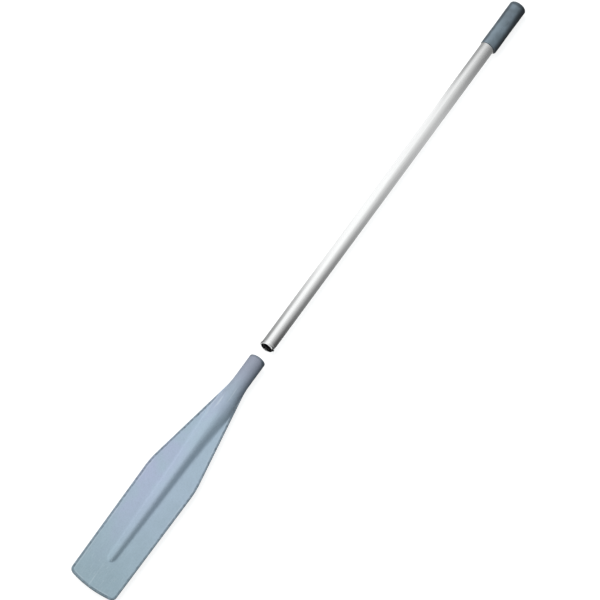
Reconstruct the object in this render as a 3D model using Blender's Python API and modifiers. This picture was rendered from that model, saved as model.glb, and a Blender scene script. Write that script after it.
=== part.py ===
# Two-part dinghy oar, laid out with its blade pulled off the shaft.
# X runs along the shaft towards the grip and Z is up, so the blade lies face up.
# The origin is on the ground, under the middle of the laid-out oar.

import math

import bmesh
import bpy
from mathutils import Vector

# Shaft tube
TUBE_DIAMETER = 0.030
TUBE_WALL = 0.0015
TUBE_LENGTH = 0.931
BEAD_RISE = 0.0008          # how far the rolled lower end stands out of the tube
BEAD_ROLL = 0.0006          # how far it is rolled inwards
BEAD_LENGTH = 0.006
BEAD_RADIUS = 0.0008
NOTCH_WIDTH = 0.008         # the key notch in the tube's open end
NOTCH_DEPTH = 0.007
NOTCH_TURN = math.radians(60)   # from straight up towards -Y

# Blade
BLADE_LENGTH = 0.618
BLADE_SHOULDER_WIDTH = 0.1126   # where the flare meets the long sides
BLADE_TIP_WIDTH = 0.1084
PLATE_THICKNESS = 0.0048
PLATE_EDGE = 0.0020         # radius of the plate's rounded edge
FLARE_START = 0.073         # from the mouth to where the plate leaves the socket
SHOULDER_STATION = 0.313    # from the mouth to the shoulder
SHOULDER_RADIUS = 0.225
TIP_RADIUS = 0.205          # of the slightly curved end
TIP_CORNER = 0.0125
SOCKET_WALL = 0.0015
SOCKET_CHAMFER = 0.0008
SOCKET_CLEARANCE = 0.0002   # round the tube's bead
SPINE_SETBACK = 0.070       # from the blade's tip to the spine's nose
SPINE_FOOT = 0.0004         # how far the spine's thin sides lie inside the plate
SPINE_BELL = 2.3            # how hollow its flanks are where the section is fully a bell
# rings of the spine: distance from the mouth, half-width, half-height, and the section's
# shape from 0 for round to 1 for a bell
SPINE_RINGS = [
    (0.094, 0.0175, 0.0175, 0.00),
    (0.100, 0.0189, 0.0174, 0.08),
    (0.107, 0.0206, 0.0172, 0.15),
    (0.115, 0.0222, 0.0170, 0.24),
    (0.124, 0.0235, 0.0168, 0.34),
    (0.134, 0.0242, 0.0166, 0.45),
    (0.146, 0.0242, 0.0163, 0.57),
    (0.160, 0.0234, 0.0160, 0.71),
    (0.176, 0.0223, 0.0156, 0.86),
    (0.194, 0.0209, 0.0152, 0.95),
    (0.214, 0.0191, 0.0147, 0.93),
    (0.236, 0.0176, 0.0141, 0.90),
    (0.260, 0.0165, 0.0136, 0.90),
    (0.290, 0.0155, 0.0130, 0.92),
    (0.325, 0.0149, 0.0123, 0.95),
    (0.365, 0.0142, 0.0115, 0.98),
    (0.405, 0.0135, 0.0108, 1.00),
    (0.445, 0.0123, 0.0100, 1.00),
    (0.485, 0.0112, 0.0093, 1.00),
    (0.515, 0.0104, 0.0088, 1.00),
    (0.534, 0.0098, 0.0085, 1.00),
]

# Joint between blade and shaft
REST_GAP = 0.0335           # from the socket's mouth to the tube's end, as laid out
INSERTION = 0.090           # how far the tube goes into the socket
SEAT_GAP = 0.001            # left between the tube's end and the socket's floor
KEY_CLEARANCE = 0.0005      # on each side of the key in its notch

# Snap button and its spring
BUTTON_DIAMETER = 0.008
LOCK_STATION = 0.010        # from the socket's mouth to the locking hole
BUTTON_INSET = 0.0002       # how far its top lies inside the socket's surface
BUTTON_FLANGE = 0.0011      # how far its foot is wider than the button
BUTTON_FLANGE_HEIGHT = 0.0009
BUTTON_CROWN = 0.0010
HOLE_CLEARANCE = 0.0003     # round the button
DISH_DIAMETER = 0.014       # the thumb dish round the hole in the socket
DISH_DEPTH = 0.0008
SPRING_WIDTH = 0.009
SPRING_THICKNESS = 0.0008
SPRING_BEND_STATION = 0.022     # from the tube's end
SPRING_BEND_RADIUS = 0.0046
SPRING_SEAT_LENGTH = 0.008  # flat stretch of the leg on each side of the button
FIT_GAP = 0.0003            # between pieces that touch

# Bungs
FLOAT_BUNG_GAP = 0.012      # from the spring's legs
FLOAT_BUNG_LENGTH = 0.080
PLUG_FLANGE = 0.003
PLUG_STEM = 0.025
BUNG_CHAMFER = 0.001

# Grip
GRIP_WALL = 0.0024
GRIP_LENGTH = 0.1146
GRIP_END_WALL = 0.005
GRIP_END_ROUND = 0.0055
GRIP_MOUTH_ROUND = 0.0012
GRIP_OFFSET = 0.0015        # the sleeve is thicker by this towards -Y

# Smoothness of round shapes
ROUND_STEPS = 48
SMALL_STEPS = 24
ARC_STEPS = 5
CUT_MARGIN = 0.005          # how far a cutter runs past what it cuts
SHARP_ANGLE = math.radians(32)  # edges steeper than this are shaded sharp

# Sizes and places that follow
tube_radius = TUBE_DIAMETER / 2
tube_bore = tube_radius - TUBE_WALL
socket_bore = tube_radius + BEAD_RISE + SOCKET_CLEARANCE
socket_radius = socket_bore + SOCKET_WALL
socket_depth = INSERTION + SEAT_GAP
spine_length = BLADE_LENGTH - SPINE_SETBACK
plug_end = TUBE_LENGTH + FIT_GAP + PLUG_FLANGE
grip_bore = tube_radius + FIT_GAP
grip_radius = grip_bore + GRIP_WALL
grip_bore_end = plug_end + FIT_GAP
shaft_length = grip_bore_end + GRIP_END_WALL
button_radius = BUTTON_DIAMETER / 2
button_hole = button_radius + HOLE_CLEARANCE
button_top = socket_radius - BUTTON_INSET
button_station = INSERTION - LOCK_STATION
spring_end = button_station + SPRING_SEAT_LENGTH

laid_out_length = BLADE_LENGTH + REST_GAP + shaft_length
axis_height = max(grip_radius, socket_radius)
mouth_x = BLADE_LENGTH - laid_out_length / 2
tube_x = mouth_x + REST_GAP


def new_collection(name):
    collection = bpy.data.collections.new(name)
    bpy.context.scene.collection.children.link(collection)
    return collection


def new_material(name, colour, roughness, metallic=0.0):
    material = bpy.data.materials.new(name)
    material.use_nodes = True
    shader = material.node_tree.nodes["Principled BSDF"]
    shader.inputs["Base Color"].default_value = (*colour, 1.0)
    shader.inputs["Roughness"].default_value = roughness
    shader.inputs["Metallic"].default_value = metallic
    return material


def new_shading(name):
    # nodes that shade a piece smooth and keep its steep edges sharp
    group = bpy.data.node_groups.new(name, "GeometryNodeTree")
    group.interface.new_socket("Mesh", in_out="INPUT", socket_type="NodeSocketGeometry")
    group.interface.new_socket("Mesh", in_out="OUTPUT", socket_type="NodeSocketGeometry")
    start = group.nodes.new("NodeGroupInput")
    end = group.nodes.new("NodeGroupOutput")
    smooth = group.nodes.new("GeometryNodeSetShadeSmooth")
    sharp = group.nodes.new("GeometryNodeSetShadeSmooth")
    sharp.domain = "EDGE"
    sharp.inputs["Shade Smooth"].default_value = False
    angle = group.nodes.new("GeometryNodeInputMeshEdgeAngle")
    steep = group.nodes.new("FunctionNodeCompare")
    steep.operation = "GREATER_THAN"
    steep.inputs["B"].default_value = SHARP_ANGLE
    group.links.new(start.outputs["Mesh"], smooth.inputs["Geometry"])
    group.links.new(smooth.outputs["Geometry"], sharp.inputs["Geometry"])
    group.links.new(angle.outputs["Unsigned Angle"], steep.inputs["A"])
    group.links.new(steep.outputs["Result"], sharp.inputs["Selection"])
    group.links.new(sharp.outputs["Geometry"], end.inputs["Mesh"])
    return group


def new_frame(name, location):
    # an empty on the axis that its pieces move along
    frame = bpy.data.objects.new(name, None)
    frame.location = location
    frame.empty_display_size = 0.03
    parts.objects.link(frame)
    return frame


def add_piece(obj, frame, material):
    parts.objects.link(obj)
    obj.parent = frame
    obj.data.materials.append(material)
    return obj


def add_cutter(obj, frame):
    cutters.objects.link(obj)
    obj.parent = frame
    obj.hide_render = True
    obj.display_type = "WIRE"
    return obj


def combine(target, tool, operation="DIFFERENCE"):
    modifier = target.modifiers.new(tool.name, "BOOLEAN")
    modifier.operation = operation
    modifier.solver = "EXACT"
    modifier.object = tool


def arc(centre, radius, start, end, steps):
    # points on an arc, from one angle to another
    turns = [start + (end - start) * i / steps for i in range(steps + 1)]
    return [(centre[0] + radius * math.cos(a), centre[1] + radius * math.sin(a)) for a in turns]


def turned(name, profile, closed=False, steps=ROUND_STEPS):
    # a profile of (radius, height) turned round its own Z, running down its outer side
    mesh = bpy.data.meshes.new(name)
    edges = [(i, i + 1) for i in range(len(profile) - 1)]
    if closed:
        edges.append((len(profile) - 1, 0))
    mesh.from_pydata([(radius, 0, height) for radius, height in profile], edges, [])
    obj = bpy.data.objects.new(name, mesh)
    screw = obj.modifiers.new("turn", "SCREW")
    screw.axis = "Z"
    screw.steps = screw.render_steps = steps
    screw.use_merge_vertices = True
    screw.merge_threshold = 0.00001
    return obj


def rod(name, radius, low, high, steps=ROUND_STEPS):
    # a plain cylinder along its own Z
    return turned(name, [(0, high), (radius, high), (radius, low), (0, low)], steps=steps)


def block(name, low, high):
    mesh = bpy.data.meshes.new(name)
    bm = bmesh.new()
    bmesh.ops.create_cube(bm, size=1)
    low, high = Vector(low), Vector(high)
    for vertex in bm.verts:
        vertex.co = (low + high) / 2 + vertex.co * (high - low)
    bm.to_mesh(mesh)
    bm.free()
    return bpy.data.objects.new(name, mesh)


def flat_plate(name, outline, thickness, edge=0.0):
    # an outline in XY made solid, with rounded edges inside the outline
    curve = bpy.data.curves.new(name, "CURVE")
    curve.dimensions = "2D"
    curve.fill_mode = "BOTH"
    curve.extrude = thickness / 2 - edge
    curve.bevel_depth = edge
    curve.bevel_resolution = 2
    curve.offset = -edge
    spline = curve.splines.new("POLY")
    spline.points.add(len(outline) - 1)
    for point, (x, y) in zip(spline.points, outline):
        point.co = (x, y, 0, 1)
    spline.use_cyclic_u = True
    drawn = bpy.data.objects.new(name + "_outline", curve)
    cutters.objects.link(drawn)
    bpy.context.view_layer.update()
    mesh = bpy.data.meshes.new_from_object(drawn.evaluated_get(bpy.context.evaluated_depsgraph_get()))
    bpy.data.objects.remove(drawn)
    bm = bmesh.new()
    bm.from_mesh(mesh)
    bmesh.ops.remove_doubles(bm, verts=bm.verts, dist=0.000005)
    bmesh.ops.recalc_face_normals(bm, faces=bm.faces)
    bm.to_mesh(mesh)
    bm.free()
    mesh.materials.clear()
    return bpy.data.objects.new(name, mesh)


def along_x(obj, station=0.0):
    # lay a turned shape down, so that its Z points along +X from the station
    obj.rotation_euler = (0, math.pi / 2, 0)
    obj.location = (station, 0, 0)
    return obj


def down(obj, station):
    # point a turned shape's Z at the ground
    obj.rotation_euler = (math.pi, 0, 0)
    obj.location = (station, 0, 0)
    return obj


def blade_outline():
    # half of the plate's outline, from inside the socket round to the middle of the tip,
    # with the distance from the mouth along -X
    shoulder = BLADE_SHOULDER_WIDTH / 2
    side = BLADE_TIP_WIDTH / 2
    flare = math.atan2(shoulder - socket_radius, SHOULDER_STATION - FLARE_START)
    root = 2 * SOCKET_WALL      # the plate starts inside the bore, which cuts it back
    tip_centre = BLADE_LENGTH - TIP_RADIUS
    corner_y = side - TIP_CORNER
    corner_x = tip_centre + math.sqrt((TIP_RADIUS - TIP_CORNER) ** 2 - corner_y ** 2)
    taper = math.atan2(shoulder - side, corner_x - SHOULDER_STATION)

    # shoulder: an arc that is tangent to the flare and to the long side
    reach = SHOULDER_RADIUS * math.tan((flare + taper) / 2)
    start_x = SHOULDER_STATION - reach * math.cos(flare)
    start_y = shoulder - reach * math.sin(flare)
    centre = (start_x + SHOULDER_RADIUS * math.sin(flare), start_y - SHOULDER_RADIUS * math.cos(flare))
    quarter = math.pi / 2
    half = [(FLARE_START - root, socket_radius - root), (FLARE_START, socket_radius)]
    half += arc(centre, SHOULDER_RADIUS, quarter + flare, quarter - taper, ARC_STEPS)

    # tip: a corner arc, then the long arc of the end
    turn = math.atan2(corner_y, corner_x - tip_centre)
    half += arc((corner_x, corner_y), TIP_CORNER, quarter - taper, turn, ARC_STEPS + 2)
    half += arc((tip_centre, 0), TIP_RADIUS, turn, 0, ARC_STEPS)[1:]
    near = [(-x, y) for x, y in half]
    far = [(x, -y) for x, y in reversed(near[:-1])]
    return near + far


def spine_section(station, half_width, half_height, bell):
    # the points round one section of the socket or the spine
    power = 1 + SPINE_BELL * bell
    foot = (PLATE_THICKNESS / 2 - SPINE_FOOT) * bell ** 2
    points = []
    for i in range(ROUND_STEPS):
        turn = 2 * math.pi * i / ROUND_STEPS
        rise = foot + (half_height - foot) * abs(math.sin(turn)) ** power
        if i % (ROUND_STEPS // 2) == 0:
            rise = 0
        points.append((-station, half_width * math.cos(turn), math.copysign(rise, math.sin(turn))))
    return points


def spine_loft(name):
    # the socket and the spine as one loft, from a round mouth to the nose
    chamfered = socket_radius - SOCKET_CHAMFER
    sections = [(0.0, chamfered, chamfered, 0), (SOCKET_CHAMFER, socket_radius, socket_radius, 0)]
    sections += SPINE_RINGS
    last = SPINE_RINGS[-1]
    for turn in [math.pi / 2 * i / ARC_STEPS for i in range(1, ARC_STEPS)]:
        station = last[0] + (spine_length - last[0]) * math.sin(turn)
        sections.append((station, last[1] * math.cos(turn), last[2] * math.cos(turn), last[3]))
    bm = bmesh.new()
    loops = [[bm.verts.new(point) for point in spine_section(*section)] for section in sections]
    for near, far in zip(loops, loops[1:]):
        for i in range(ROUND_STEPS):
            after = (i + 1) % ROUND_STEPS
            bm.faces.new((near[i], near[after], far[after], far[i]))
    bm.faces.new(reversed(loops[0]))
    nose = bm.verts.new((-spine_length, 0, 0))
    for i in range(ROUND_STEPS):
        bm.faces.new((loops[-1][i], loops[-1][(i + 1) % ROUND_STEPS], nose))
    bmesh.ops.recalc_face_normals(bm, faces=bm.faces)
    mesh = bpy.data.meshes.new(name)
    bm.to_mesh(mesh)
    bm.free()
    return bpy.data.objects.new(name, mesh)


def make_blade(frame, material):
    blade = add_piece(spine_loft("blade"), frame, material)
    plate = add_cutter(flat_plate("blade_plate", blade_outline(), PLATE_THICKNESS, PLATE_EDGE), frame)
    combine(blade, plate, "UNION")
    bore = add_cutter(along_x(rod("socket_bore", socket_bore, -socket_depth, CUT_MARGIN)), frame)
    combine(blade, bore)

    # the key on the socket's floor, which stops the blade from turning on the shaft
    key_half = NOTCH_WIDTH / 2 - KEY_CLEARANCE
    key_length = NOTCH_DEPTH - NOTCH_WIDTH / 2 + SEAT_GAP     # up to the notch's round bottom
    key_inner = tube_bore - BEAD_ROLL - KEY_CLEARANCE
    key_root = SOCKET_WALL / 2
    key = block(
        "socket_key",
        (-socket_depth - key_root, -key_half, key_inner),
        (-socket_depth + key_length, key_half, socket_bore + key_root),
    )
    key.rotation_euler = (NOTCH_TURN, 0, 0)
    combine(blade, add_cutter(key, frame), "UNION")

    # the locking hole and the thumb dish round it, on the underside
    low = socket_bore - CUT_MARGIN
    high = socket_radius + CUT_MARGIN
    hole = rod("locking_hole", button_hole, low, high, SMALL_STEPS)
    combine(blade, add_cutter(down(hole, -LOCK_STATION), frame))
    ball = ((DISH_DIAMETER / 2) ** 2 + DISH_DEPTH ** 2) / (2 * DISH_DEPTH)
    bottom = socket_radius - DISH_DEPTH
    opened = math.acos((bottom + ball - high) / ball)
    bowl = arc((0, bottom + ball), ball, -math.pi / 2 + opened, -math.pi / 2, ARC_STEPS)
    dish = turned("thumb_dish", [(0, high)] + bowl, steps=SMALL_STEPS)
    combine(blade, add_cutter(down(dish, -LOCK_STATION), frame))
    return blade


def make_tube(frame, material):
    bead = tube_radius + BEAD_RISE
    rolled = tube_bore - BEAD_ROLL
    profile = [(tube_radius, TUBE_LENGTH), (tube_radius, BEAD_LENGTH + BEAD_RISE), (bead, BEAD_LENGTH)]
    profile += arc((bead - BEAD_RADIUS, BEAD_RADIUS), BEAD_RADIUS, 0, -math.pi / 2, ARC_STEPS - 1)
    profile += arc((rolled + BEAD_RADIUS, BEAD_RADIUS), BEAD_RADIUS, -math.pi / 2, -math.pi, ARC_STEPS - 1)
    profile += [(rolled, BEAD_LENGTH), (tube_bore, BEAD_LENGTH + BEAD_ROLL), (tube_bore, TUBE_LENGTH)]
    tube = add_piece(along_x(turned("shaft_tube", profile, closed=True)), frame, material)

    half = NOTCH_WIDTH / 2
    round_x = NOTCH_DEPTH - half
    outline = [(-CUT_MARGIN, -half)]
    outline += arc((round_x, 0), half, -math.pi / 2, math.pi / 2, ARC_STEPS * 2)
    outline += [(-CUT_MARGIN, half)]
    notch = flat_plate("key_notch", outline, tube_radius)
    notch.location = Vector((0, -math.sin(NOTCH_TURN), math.cos(NOTCH_TURN))) * tube_radius
    notch.rotation_euler = (NOTCH_TURN, 0, 0)
    combine(tube, add_cutter(notch, frame))

    hole = rod("button_hole", button_hole, tube_bore - CUT_MARGIN, tube_radius + CUT_MARGIN, SMALL_STEPS)
    combine(tube, add_cutter(down(hole, button_station), frame))
    return tube


def make_spring(frame, material):
    # a strip that lies along the top of the bore, turns back and slants down to the button
    half = SPRING_WIDTH / 2
    top = math.sqrt((tube_bore - FIT_GAP) ** 2 - half ** 2) - SPRING_THICKNESS / 2
    seat = -(button_foot() - FIT_GAP - SPRING_THICKNESS / 2)
    seat_start = button_station - SPRING_SEAT_LENGTH
    centre = (SPRING_BEND_STATION, top - SPRING_BEND_RADIUS)
    path = [(spring_end, top)]
    path += arc(centre, SPRING_BEND_RADIUS, math.pi / 2, math.pi * 3 / 2, ARC_STEPS * 2)
    path += [(seat_start, seat), (spring_end, seat)]
    mesh = bpy.data.meshes.new("spring_clip")
    verts = [(x, y, z) for x, z in path for y in (-half, half)]
    faces = [(2 * i, 2 * i + 1, 2 * i + 3, 2 * i + 2) for i in range(len(path) - 1)]
    mesh.from_pydata(verts, [], faces)
    spring = bpy.data.objects.new("spring_clip", mesh)
    strip = spring.modifiers.new("strip", "SOLIDIFY")
    strip.thickness = SPRING_THICKNESS
    strip.offset = 0
    strip.use_even_offset = True
    return add_piece(spring, frame, material)


def button_foot():
    # how far out the button's foot starts: its flange stops against the tube's bore
    flange = button_radius + BUTTON_FLANGE
    return math.sqrt((tube_bore - FIT_GAP) ** 2 - flange ** 2) - BUTTON_FLANGE_HEIGHT


def make_button(frame, material):
    foot = button_foot()
    flange = button_radius + BUTTON_FLANGE
    crown_radius = (button_radius ** 2 + BUTTON_CROWN ** 2) / (2 * BUTTON_CROWN)
    opened = math.asin(button_radius / crown_radius)
    quarter = math.pi / 2
    profile = arc((0, button_top - crown_radius), crown_radius, quarter, quarter - opened, ARC_STEPS)
    profile += [(button_radius, foot + BUTTON_FLANGE_HEIGHT), (flange, foot + BUTTON_FLANGE_HEIGHT)]
    profile += [(flange, foot), (0, foot)]
    return add_piece(down(turned("snap_button", profile, steps=SMALL_STEPS), 0), frame, material)


def make_bungs(frame, foam, plastic):
    radius = tube_bore - FIT_GAP
    high = FLOAT_BUNG_LENGTH
    profile = [(0, high), (radius - BUNG_CHAMFER, high), (radius, high - BUNG_CHAMFER)]
    profile += [(radius, BUNG_CHAMFER), (radius - BUNG_CHAMFER, 0), (0, 0)]
    add_piece(along_x(turned("float_bung", profile), spring_end + FLOAT_BUNG_GAP), frame, foam)

    flange = tube_radius - FIT_GAP
    low = TUBE_LENGTH - PLUG_STEM
    seat = TUBE_LENGTH + FIT_GAP
    profile = [(0, plug_end), (flange, plug_end), (flange, seat), (radius, seat)]
    profile += [(radius, low + BUNG_CHAMFER), (radius - BUNG_CHAMFER, low), (0, low)]
    add_piece(along_x(turned("tube_plug", profile)), frame, plastic)


def make_grip(frame, material):
    radius = grip_radius
    start = shaft_length - GRIP_LENGTH
    profile = [(0, shaft_length)]
    end_centre = (radius - GRIP_END_ROUND, shaft_length - GRIP_END_ROUND)
    profile += arc(end_centre, GRIP_END_ROUND, math.pi / 2, 0, ARC_STEPS + 1)
    mouth_centre = (radius - GRIP_MOUTH_ROUND, start + GRIP_MOUTH_ROUND)
    profile += arc(mouth_centre, GRIP_MOUTH_ROUND, 0, -math.pi / 2, ARC_STEPS - 2)
    profile += [(0, start)]
    grip = along_x(turned("grip", profile))
    grip.location.y = -GRIP_OFFSET
    add_piece(grip, frame, material)
    bore = add_cutter(along_x(rod("grip_bore", grip_bore, start - CUT_MARGIN, grip_bore_end)), frame)
    combine(grip, bore)
    return grip


for old in list(bpy.data.objects):
    bpy.data.objects.remove(old)

parts = new_collection("dinghy_oar")
cutters = new_collection("cutters")

blade_plastic = new_material("blade_plastic", (0.34, 0.44, 0.52), 0.45)
tube_aluminium = new_material("tube_aluminium", (0.80, 0.81, 0.80), 0.22, 1.0)
grip_rubber = new_material("grip_rubber", (0.13, 0.17, 0.19), 0.60)
spring_steel = new_material("spring_steel", (0.62, 0.62, 0.60), 0.30, 1.0)
bung_foam = new_material("bung_foam", (0.80, 0.80, 0.76), 0.90)
plug_plastic = new_material("plug_plastic", (0.03, 0.03, 0.03), 0.50)

blade_frame = new_frame("blade_frame", (mouth_x, 0, axis_height))
shaft_frame = new_frame("shaft_frame", (tube_x, 0, axis_height))
button_frame = new_frame("button_frame", (tube_x + button_station, 0, axis_height))

make_blade(blade_frame, blade_plastic)
make_tube(shaft_frame, tube_aluminium)
make_spring(shaft_frame, spring_steel)
make_button(button_frame, spring_steel)
make_bungs(shaft_frame, bung_foam, plug_plastic)
make_grip(shaft_frame, grip_rubber)

shading = new_shading("smooth_by_angle")
for piece in parts.objects:
    if piece.type == "MESH":
        piece.modifiers.new("shading", "NODES").node_group = shading
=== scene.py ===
# A two-part dinghy oar, laid out with its blade pulled off the shaft.
# X runs along the shaft towards the grip, Z is up, and all lengths are metres.
import math

import bmesh
import bpy
import numpy as np
from mathutils import Matrix, Vector


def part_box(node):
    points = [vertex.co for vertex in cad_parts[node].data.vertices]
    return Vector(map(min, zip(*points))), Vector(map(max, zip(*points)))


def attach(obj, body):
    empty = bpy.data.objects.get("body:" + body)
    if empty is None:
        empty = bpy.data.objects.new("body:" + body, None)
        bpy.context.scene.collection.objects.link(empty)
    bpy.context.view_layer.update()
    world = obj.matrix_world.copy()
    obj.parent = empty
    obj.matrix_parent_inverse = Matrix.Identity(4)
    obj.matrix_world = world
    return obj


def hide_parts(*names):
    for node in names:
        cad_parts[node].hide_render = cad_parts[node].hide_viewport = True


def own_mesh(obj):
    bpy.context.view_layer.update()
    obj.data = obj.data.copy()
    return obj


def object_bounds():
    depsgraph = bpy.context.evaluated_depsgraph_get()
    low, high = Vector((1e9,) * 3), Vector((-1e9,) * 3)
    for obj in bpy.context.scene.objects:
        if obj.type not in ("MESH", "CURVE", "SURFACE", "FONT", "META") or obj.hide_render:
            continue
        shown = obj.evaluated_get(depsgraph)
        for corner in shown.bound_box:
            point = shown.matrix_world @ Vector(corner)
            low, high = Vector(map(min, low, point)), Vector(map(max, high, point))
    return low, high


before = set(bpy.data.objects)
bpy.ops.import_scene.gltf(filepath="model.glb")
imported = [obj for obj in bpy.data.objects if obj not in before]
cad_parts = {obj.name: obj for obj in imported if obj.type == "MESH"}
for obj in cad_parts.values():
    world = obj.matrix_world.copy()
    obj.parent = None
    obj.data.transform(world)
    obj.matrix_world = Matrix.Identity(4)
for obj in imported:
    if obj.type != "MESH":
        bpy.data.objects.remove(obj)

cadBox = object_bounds()
scene = bpy.context.scene
print("frame loaded with", len(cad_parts), "nodes")

bladeLow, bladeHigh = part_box("blade")
tubeLow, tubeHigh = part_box("shaft_tube")
gripLow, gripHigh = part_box("grip")
buttonLow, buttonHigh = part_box("snap_button")
springLow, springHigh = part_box("spring_clip")
axisZ = (tubeLow.z + tubeHigh.z) / 2  # height of the oar's axis over the floor
mouthX = bladeHigh.x  # the socket's mouth
buttonX = (buttonLow.x + buttonHigh.x) / 2


# Node trees

class Signal:
    # one output in a node tree, so that maths on it reads as plain Python
    def __init__(self, tree, socket):
        self.tree = tree
        self.socket = socket

    def math(self, operation, *others):
        values = dict(enumerate((self,) + others))
        return self.tree.node("ShaderNodeMath", {"operation": operation}, values)

    def __add__(self, other):
        return self.math("ADD", other)

    def __sub__(self, other):
        return self.math("SUBTRACT", other)

    def __mul__(self, other):
        return self.math("MULTIPLY", other)

    def __rsub__(self, other):
        values = {0: other, 1: self}
        return self.tree.node("ShaderNodeMath", {"operation": "SUBTRACT"}, values)

    __radd__ = __add__
    __rmul__ = __mul__

    def orMore(self, other):
        # the larger of the two
        return self.math("MAXIMUM", other)

    def ramp(self, start, end):
        # 0 before start, 1 past end, smooth between them
        values = {"Value": self, "From Min": start, "From Max": end}
        return self.tree.node("ShaderNodeMapRange", {"interpolation_type": "SMOOTHSTEP"}, values)

    def xyz(self):
        made = self.tree.node("ShaderNodeSeparateXYZ", values={0: self}).socket.node
        return [Signal(self.tree, output) for output in made.outputs]


def setStops(ramp, stops):
    # greys at places on a colour ramp
    while len(ramp.elements) < len(stops):
        ramp.elements.new(1.0)
    for element, (position, tone) in zip(ramp.elements, stops):
        element.position = position
        element.color = (tone, tone, tone, 1.0)


class Tree:
    # a node tree with short calls for its nodes
    def __init__(self, nodeTree):
        self.nodeTree = nodeTree

    def node(self, kind, settings=None, values=None, output=0):
        # a new node's output, with its settings made before its sockets are fed
        made = self.nodeTree.nodes.new(kind)
        for key, value in (settings or {}).items():
            if key == "stops":
                setStops(made.color_ramp, value)
            else:
                setattr(made, key, value)
        for key, value in (values or {}).items():
            self.feed(made.inputs[key], value)
        return Signal(self, made.outputs[output])

    def feed(self, socket, value):
        if isinstance(value, Signal):
            self.nodeTree.links.new(value.socket, socket)
        else:
            socket.default_value = value

    def mix(self, amount, first, second):
        # inputs 6 and 7 are the colours of a Mix node
        colours = [c if isinstance(c, Signal) else (*c, 1.0) for c in (first, second)]
        values = {"Factor": amount, 6: colours[0], 7: colours[1]}
        return self.node("ShaderNodeMix", {"data_type": "RGBA"}, values, output=2)

    def backdrop(self):
        # 1 on the rays that show what stands behind the oar
        rays = ("Is Camera Ray", "Is Glossy Ray", "Is Transmission Ray")
        camera, glossy, through = [self.node("ShaderNodeLightPath", output=ray) for ray in rays]
        return camera.orMore(glossy).orMore(through)


class Finish(Tree):
    # a Principled material in its look's base colour, with constants for other sockets
    def __init__(self, name, look, **constants):
        self.material = bpy.data.materials.new(name)
        self.material.use_nodes = True
        super().__init__(self.material.node_tree)
        self.shader = self.nodeTree.nodes["Principled BSDF"]
        self.look = look
        self.colour = look["base"]
        self.set("Base Color", (*self.colour, 1.0))
        for socket, value in constants.items():
            self.set(socket.replace("_", " "), value)
        self.place = self.node("ShaderNodeTexCoord", output="Object")

    def set(self, socket, value):
        self.feed(self.shader.inputs[socket], value)

    def paint(self, amount, colour):
        # lays a share of a colour of the look over what is there
        self.colour = self.mix(amount, self.colour, self.look[colour])
        self.set("Base Color", self.colour)

    def bump(self, height, depth, strength):
        values = {"Height": height, "Distance": depth, "Strength": strength}
        self.set("Normal", self.node("ShaderNodeBump", values=values))

    def noise(self, name):
        # the look holds its scale and detail, and its stretch along the axes if it has any
        scale, detail, *stretch = self.look[name]
        values = {"Vector": self.place, "Scale": stretch or (1, 1, 1)}
        place = self.node("ShaderNodeMapping", values=values)
        values = {"Vector": place, "Scale": scale, "Detail": detail}
        return self.node("ShaderNodeTexNoise", values=values, output="Fac")

    def axisDistance(self):
        # distance from the oar's long axis
        y, z = self.place.xyz()[1:]
        up = z - axisZ
        return (y * y + up * up).math("SQRT")


def linear(red, green, blue):
    # a colour read as 0 to 255 on the screen, as the shader wants it
    shares = [c / 255 for c in (red, green, blue)]
    return tuple(c / 12.92 if c <= 0.04045 else ((c + 0.055) / 1.055) ** 2.4 for c in shares)


# Meshes

weldDistance = 0.000002  # points nearer than this become one


def addObject(name, data):
    made = bpy.data.objects.new(name, data)
    scene.collection.objects.link(made)
    return made


def addMesh(name, bm):
    # what was built becomes an object
    mesh = bpy.data.meshes.new(name)
    bm.to_mesh(mesh)
    bm.free()
    return addObject(name, mesh)


def bridge(bm, rows, closed=False):
    # faces between rows of points; where two rows share a point they are triangles
    for near, far in zip(rows, rows[1:]):
        if closed:
            near, far = near + near[:1], far + far[:1]
        for corners in zip(near, near[1:], far[1:], far):
            bm.faces.new(list(dict.fromkeys(corners)))


def coat(piece, material):
    # one material on the whole piece
    piece.data.materials.clear()
    piece.data.materials.append(material)
    piece.data.polygons.foreach_set("material_index", [0] * len(piece.data.polygons))


def sharpen(piece, degrees):
    # smooth shading with sharp edges where the faces turn by more than this
    piece.data.shade_smooth()
    piece.data.set_sharp_from_angle(angle=math.radians(degrees))


def evaluated(source):
    return bpy.data.meshes.new_from_object(source.evaluated_get(bpy.context.evaluated_depsgraph_get()))


def cut(piece, cutter, operation="DIFFERENCE"):
    # applied at once, and the cutter is removed
    made = piece.modifiers.new(cutter.name, "BOOLEAN")
    made.operation = operation
    made.solver = "EXACT"
    made.object = cutter
    material = piece.data.materials[0]
    mesh = evaluated(piece)
    piece.modifiers.clear()
    piece.data = mesh
    coat(piece, material)
    bpy.data.objects.remove(cutter)


def solidRod(name, x, radius, low, high, steps):
    # a closed upright rod for cutting, with its ends measured from the oar's axis
    bm = bmesh.new()
    size = {"segments": steps, "radius1": radius, "radius2": radius, "depth": high - low}
    bmesh.ops.create_cone(bm, cap_ends=True, **size)
    bmesh.ops.translate(bm, verts=bm.verts, vec=(0, 0, (low + high) / 2))
    rod = addMesh(name, bm)
    rod.matrix_world = Matrix.Translation((x, 0, axisZ))
    return rod


def arc(centre, radius, start, end, steps):
    # points on an arc, angles in degrees, 0 along +X and 90 away from the axis
    turns = [math.radians(start + (end - start) * i / steps) for i in range(steps + 1)]
    return [(centre[0] + radius * math.cos(a), centre[1] + radius * math.sin(a)) for a in turns]


def eased(start, end, steps):
    # points on a slope that starts and ends level
    shares = [i / steps for i in range(steps + 1)]
    return [(start[0] + (end[0] - start[0]) * share,
             start[1] + (end[1] - start[1]) * (1 - math.cos(math.pi * share)) / 2) for share in shares]


# Turned pieces

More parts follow.
